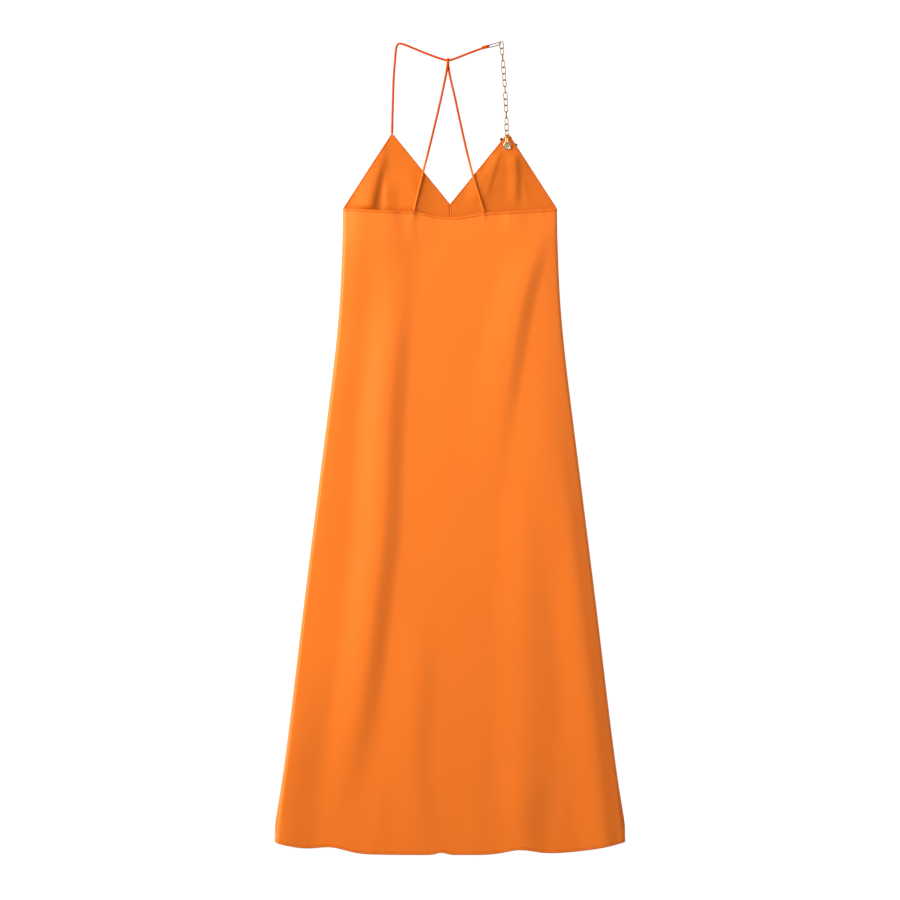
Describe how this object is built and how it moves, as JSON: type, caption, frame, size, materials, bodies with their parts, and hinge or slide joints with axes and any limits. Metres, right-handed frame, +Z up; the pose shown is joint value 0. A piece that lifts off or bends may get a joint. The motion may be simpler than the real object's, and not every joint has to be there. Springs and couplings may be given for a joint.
{
  "type": "maxi slip dress",
  "caption": "Long satin slip dress laid flat, back uppermost: triangular front cups, thin straps, Y-shaped back strap, one chain shoulder and an A-line skirt.",
  "frame": {"origin": "centre of the bounding box on the surface that the dress lies on", "axes": "+X to the right seen from above, +Y from the hem towards the shoulders, +Z up from the surface"},
  "size_m": [0.606, 1.4068, 0.0147],
  "materials": {
    "satin": "soft orange satin with a low sheen",
    "chain_metal": "polished pale gold",
    "ring_metal": "polished pale metal",
    "ornament_enamel": "black enamel"
  },
  "bodies": {
    "root": {"skirt_front": "satin", "cup_left": "satin", "cup_right": "satin", "back_panel": "satin", "back_strap": "satin", "shoulder_strap": "satin", "end_link": "chain_metal", "link_01": "chain_metal", "link_02": "chain_metal", "link_03": "chain_metal", "link_04": "chain_metal", "link_05": "chain_metal", "link_06": "chain_metal", "link_07": "chain_metal", "link_08": "chain_metal", "link_09": "chain_metal", "link_10": "chain_metal", "link_11": "chain_metal", "link_12": "chain_metal", "link_13": "chain_metal", "link_14": "chain_metal", "link_15": "chain_metal", "link_16": "chain_metal", "tip_ring": "ring_metal", "tip_plate": "chain_metal", "tip_ornament": "ornament_enamel"}
  },
  "joints": []
}
